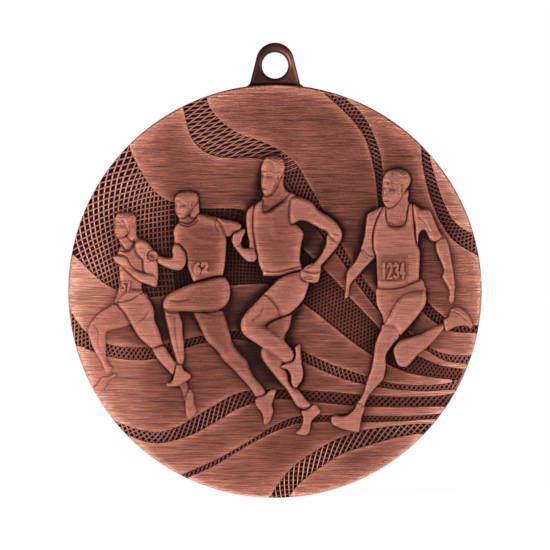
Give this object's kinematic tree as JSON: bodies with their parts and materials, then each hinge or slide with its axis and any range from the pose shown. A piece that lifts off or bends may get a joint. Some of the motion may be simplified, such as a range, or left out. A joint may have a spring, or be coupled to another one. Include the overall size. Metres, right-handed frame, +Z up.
{
  "type": "sports finisher medal",
  "caption": "Round antiqued bronze finisher medal with running figures in relief over a mesh background, and a lug with a ribbon hole.",
  "frame": {"origin": "centre of the ribbon hole, halfway through the lug", "axes": "+Z up through the lug, the face looks towards -Y, +X to the right seen from the front"},
  "size_m": [0.05, 0.0034, 0.055],
  "materials": {
    "disc_bronze": "antiqued, brushed across the raised panels",
    "relief_bronze": "antiqued, worn bright on the high points",
    "mesh_bronze": "dark patina left in the recesses",
    "lug_bronze": "antiqued, satin"
  },
  "bodies": {
    "root": {"medal_disc": "disc_bronze", "hanging_loop": "lug_bronze", "loop_braze": "lug_bronze", "runner_far_left": "relief_bronze", "runner_left": "relief_bronze", "runner_centre": "relief_bronze", "runner_right": "relief_bronze", "race_bib_far_left": "relief_bronze", "race_bib_left": "relief_bronze", "race_bib_right": "relief_bronze", "mesh_broad_sweep": "mesh_bronze", "mesh_crest_sweep": "mesh_bronze", "mesh_right_arc": "mesh_bronze", "mesh_rim_crescent": "mesh_bronze", "mesh_knee_band": "mesh_bronze", "mesh_foot_band": "mesh_bronze", "mesh_low_band": "mesh_bronze", "mesh_bottom_ribbon": "mesh_bronze"}
  },
  "joints": []
}
